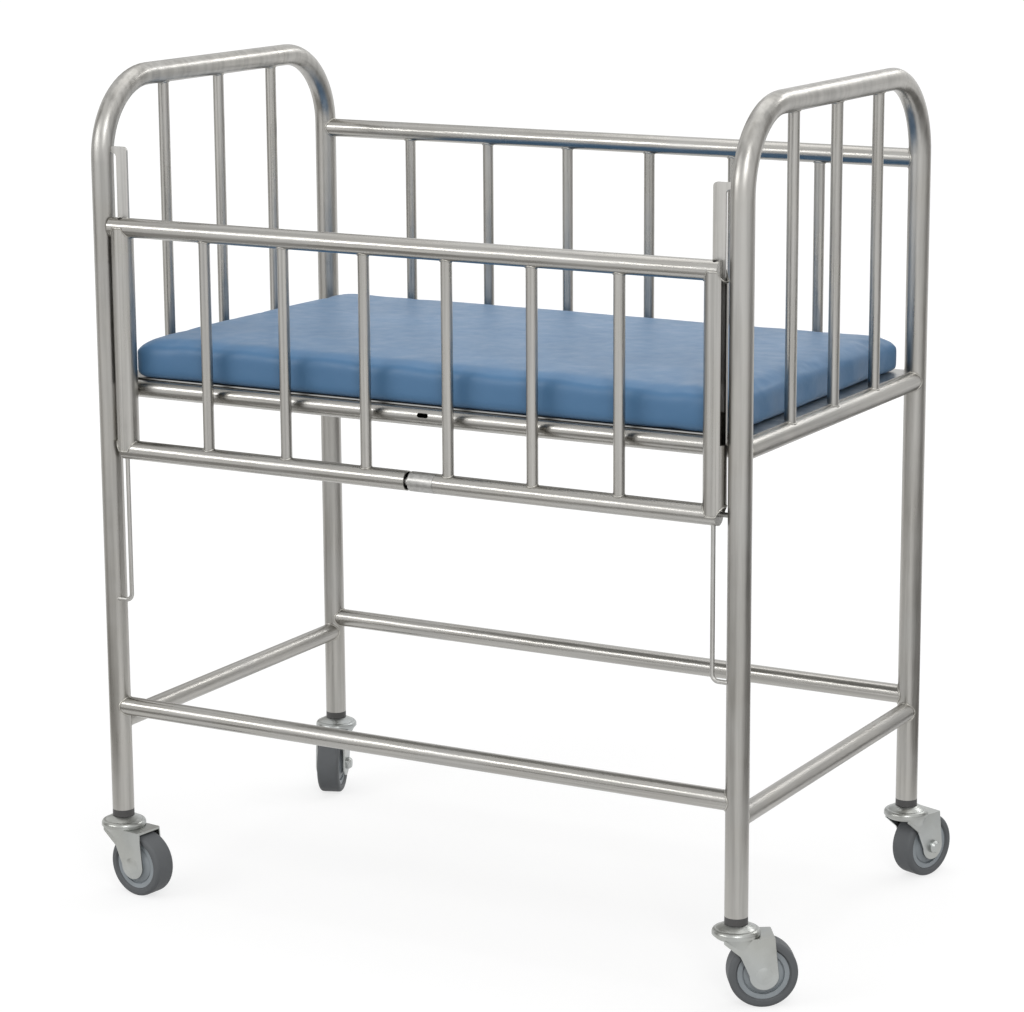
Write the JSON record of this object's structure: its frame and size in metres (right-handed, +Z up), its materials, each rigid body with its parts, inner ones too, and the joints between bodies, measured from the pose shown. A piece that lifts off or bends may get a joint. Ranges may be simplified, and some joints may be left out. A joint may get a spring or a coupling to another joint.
{
  "type": "hospital bassinet",
  "caption": "Infant cot on castors: tubular steel end hoops, barred back, drop side on guides with a sliding rail latch, steel deck and vinyl mattress.",
  "frame": {"origin": "on the floor under the point midway between the four posts", "axes": "+X along the cot to its right end as seen from the drop side, +Y from the drop side to the fixed back, +Z up"},
  "size_m": [0.8808, 0.5591, 0.9627],
  "materials": {
    "steel_tube": "stainless tube, linished to a soft shine",
    "steel_sheet": "mill-finish stainless sheet",
    "satin_steel": "satin stainless, not polished after welding",
    "castor_metal": "bright zinc-plated pressed steel",
    "castor_collar": "dark grey moulded plastic",
    "castor_hub": "light grey moulded plastic",
    "castor_tyre": "grey non-marking rubber",
    "mattress_cover": "blue wipe-clean vinyl over foam"
  },
  "bodies": {
    "frame": {"back_bars": "steel_tube", "back_deck_rail": "steel_tube", "back_stretcher": "steel_tube", "back_top_rail": "steel_tube", "castor_collars": "castor_collar", "castor_stems": "castor_metal", "deck_sheet": "steel_sheet", "deck_stiffeners": "steel_sheet", "front_deck_rail": "steel_tube", "front_stretcher": "steel_tube", "left_crossbar": "steel_tube", "left_end_bars": "steel_tube", "left_end_hoop": "steel_tube", "left_guide_rod": "satin_steel", "left_guide_strip": "satin_steel", "left_stretcher": "steel_tube", "right_crossbar": "steel_tube", "right_end_bars": "steel_tube", "right_end_hoop": "steel_tube", "right_guide_rod": "satin_steel", "right_guide_strip": "satin_steel", "right_stretcher": "steel_tube"},
    "drop_side": {"side_bars": "steel_tube", "side_bottom_rail_left": "steel_tube", "side_bottom_rail_right": "steel_tube", "side_latch_bush": "satin_steel", "side_rail_core": "satin_steel", "side_top_rail": "steel_tube", "side_tube_left": "steel_tube", "side_tube_right": "steel_tube"},
    "latch": {"latch_sleeve": "satin_steel"},
    "latch_pin": {"latch_rod": "satin_steel"},
    "mattress": {"mattress": "mattress_cover"},
    "castor_front_left": {"castor_axle_front_left": "castor_metal", "castor_cap_front_left": "castor_metal", "castor_fork_front_left": "castor_metal"},
    "wheel_front_left": {"castor_hub_front_left": "castor_hub", "castor_tyre_front_left": "castor_tyre"},
    "castor_front_right": {"castor_axle_front_right": "castor_metal", "castor_cap_front_right": "castor_metal", "castor_fork_front_right": "castor_metal"},
    "wheel_front_right": {"castor_hub_front_right": "castor_hub", "castor_tyre_front_right": "castor_tyre"},
    "castor_back_left": {"castor_axle_back_left": "castor_metal", "castor_cap_back_left": "castor_metal", "castor_fork_back_left": "castor_metal"},
    "wheel_back_left": {"castor_hub_back_left": "castor_hub", "castor_tyre_back_left": "castor_tyre"},
    "castor_back_right": {"castor_axle_back_right": "castor_metal", "castor_cap_back_right": "castor_metal", "castor_fork_back_right": "castor_metal"},
    "wheel_back_right": {"castor_hub_back_right": "castor_hub", "castor_tyre_back_right": "castor_tyre"}
  },
  "joints": [
    {"name": "side_slide", "type": "slide", "parent": "frame", "child": "drop_side", "axis": [0, 0, 1], "range_m": [-0.158, 0.068]},
    {"name": "latch_slide", "type": "slide", "parent": "drop_side", "child": "latch", "axis": [1, 0, 0], "range_m": [-0.0045, 0], "stiffness_N_per_m": 600, "springref_m": 0.008},
    {"name": "latch_pin_slide", "type": "slide", "parent": "latch", "child": "latch_pin", "axis": [1, 0, 0], "range_m": [0, 0.0045]},
    {"name": "mattress_lift", "type": "slide", "parent": "frame", "child": "mattress", "axis": [0, 0, 1], "range_m": [0, 0.28]},
    {"name": "swivel_front_left", "type": "hinge", "parent": "frame", "child": "castor_front_left", "pos_m": [-0.397, -0.234, 0.085], "axis": [0, 0, 1], "continuous": true},
    {"name": "wheel_spin_front_left", "type": "hinge", "parent": "castor_front_left", "child": "wheel_front_left", "pos_m": [-0.36924, -0.23766, 0.0375], "axis": [0.1305, 0.9914, 0], "continuous": true},
    {"name": "swivel_front_right", "type": "hinge", "parent": "frame", "child": "castor_front_right", "pos_m": [0.397, -0.234, 0.085], "axis": [0, 0, 1], "continuous": true},
    {"name": "wheel_spin_front_right", "type": "hinge", "parent": "castor_front_right", "child": "wheel_front_right", "pos_m": [0.42048, -0.21875, 0.0375], "axis": [-0.5446, 0.8387, 0], "continuous": true},
    {"name": "swivel_back_left", "type": "hinge", "parent": "frame", "child": "castor_back_left", "pos_m": [-0.397, 0.234, 0.085], "axis": [0, 0, 1], "continuous": true},
    {"name": "wheel_spin_back_left", "type": "hinge", "parent": "castor_back_left", "child": "wheel_back_left", "pos_m": [-0.38697, 0.20786, 0.0375], "axis": [0.9336, 0.3584, 0], "continuous": true},
    {"name": "swivel_back_right", "type": "hinge", "parent": "frame", "child": "castor_back_right", "pos_m": [0.397, 0.234, 0.085], "axis": [0, 0, 1], "continuous": true},
    {"name": "wheel_spin_back_right", "type": "hinge", "parent": "castor_back_right", "child": "wheel_back_right", "pos_m": [0.40658, 0.26031, 0.0375], "axis": [-0.9397, 0.342, 0], "continuous": true}
  ]
}
